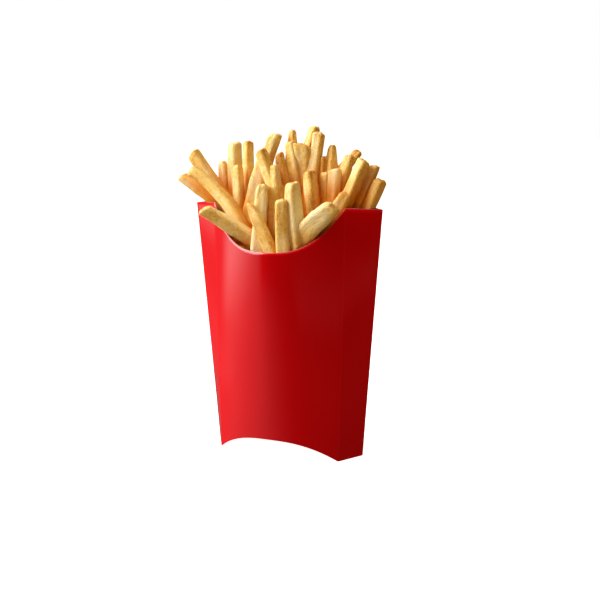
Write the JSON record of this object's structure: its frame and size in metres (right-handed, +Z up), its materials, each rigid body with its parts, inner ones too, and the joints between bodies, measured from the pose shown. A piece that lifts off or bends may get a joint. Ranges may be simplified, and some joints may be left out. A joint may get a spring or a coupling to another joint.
{
  "type": "french fries in a carton",
  "caption": "Heap of thin-cut french fries standing in an open, scoop-fronted folded paperboard carton with an arched bottom.",
  "frame": {"origin": "on the floor, in the middle of the whole object's bounding box seen from above", "axes": "+Z up, scoop front facing -Y, carton's wide side along X"},
  "size_m": [0.1252, 0.061, 0.1835],
  "materials": {
    "coated_board": "red print on both sides, with a gloss coat outside, and pale bare board at the cut edges",
    "fried_potato": "fried potato, pale gold with browner ends and edges, slightly oily"
  },
  "bodies": {
    "root": {"carton": "coated_board", "fries": "fried_potato"}
  },
  "joints": []
}
